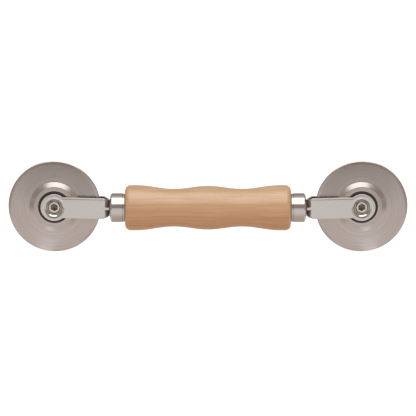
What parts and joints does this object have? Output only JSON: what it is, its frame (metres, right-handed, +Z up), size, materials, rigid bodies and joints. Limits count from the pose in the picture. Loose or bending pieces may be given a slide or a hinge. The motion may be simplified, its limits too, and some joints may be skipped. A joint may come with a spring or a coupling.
{
  "type": "hand massage roller",
  "caption": "Double-ended hand massage roller: waisted turned wood grip, ferruled steel forks and free-rolling thin steel wheels with raised hubs.",
  "frame": {"origin": "middle of the grip, on its axis", "axes": "+X along the grip towards the right-hand wheel, +Y along the wheels' axles towards the back, +Z up, square to both"},
  "size_m": [0.26, 0.0296, 0.06],
  "materials": {
    "varnished_wood": "satin varnish over fine straight grain",
    "polished_ferrule": "polished plate",
    "nickel_plate": "satin nickel plate",
    "turned_stainless": "lathe-turned stainless, brushed round the axle",
    "black_nylon": "moulded black nylon",
    "screw_steel": "bright plated steel",
    "tang_steel": "plain drawn steel"
  },
  "bodies": {
    "handle": {"handle": "varnished_wood", "left_ferrule": "polished_ferrule", "right_ferrule": "polished_ferrule", "left_collar": "polished_ferrule", "right_collar": "polished_ferrule", "left_tang": "tang_steel", "right_tang": "tang_steel", "left_fork": "nickel_plate", "right_fork": "nickel_plate", "left_axle_screw": "screw_steel", "right_axle_screw": "screw_steel", "left_axle_nut": "screw_steel", "right_axle_nut": "screw_steel", "left_front_washer": "tang_steel", "left_rear_washer": "tang_steel", "right_front_washer": "tang_steel", "right_rear_washer": "tang_steel"},
    "left_wheel": {"left_wheel": "turned_stainless", "left_hub_bush": "black_nylon"},
    "right_wheel": {"right_wheel": "turned_stainless", "right_hub_bush": "black_nylon"}
  },
  "joints": [
    {"name": "left_wheel_spin", "type": "hinge", "parent": "handle", "child": "left_wheel", "pos_m": [-0.1, 0, 0.0009], "axis": [0, 1, 0], "continuous": true},
    {"name": "right_wheel_spin", "type": "hinge", "parent": "handle", "child": "right_wheel", "pos_m": [0.1, 0, 0.0009], "axis": [0, 1, 0], "continuous": true}
  ]
}
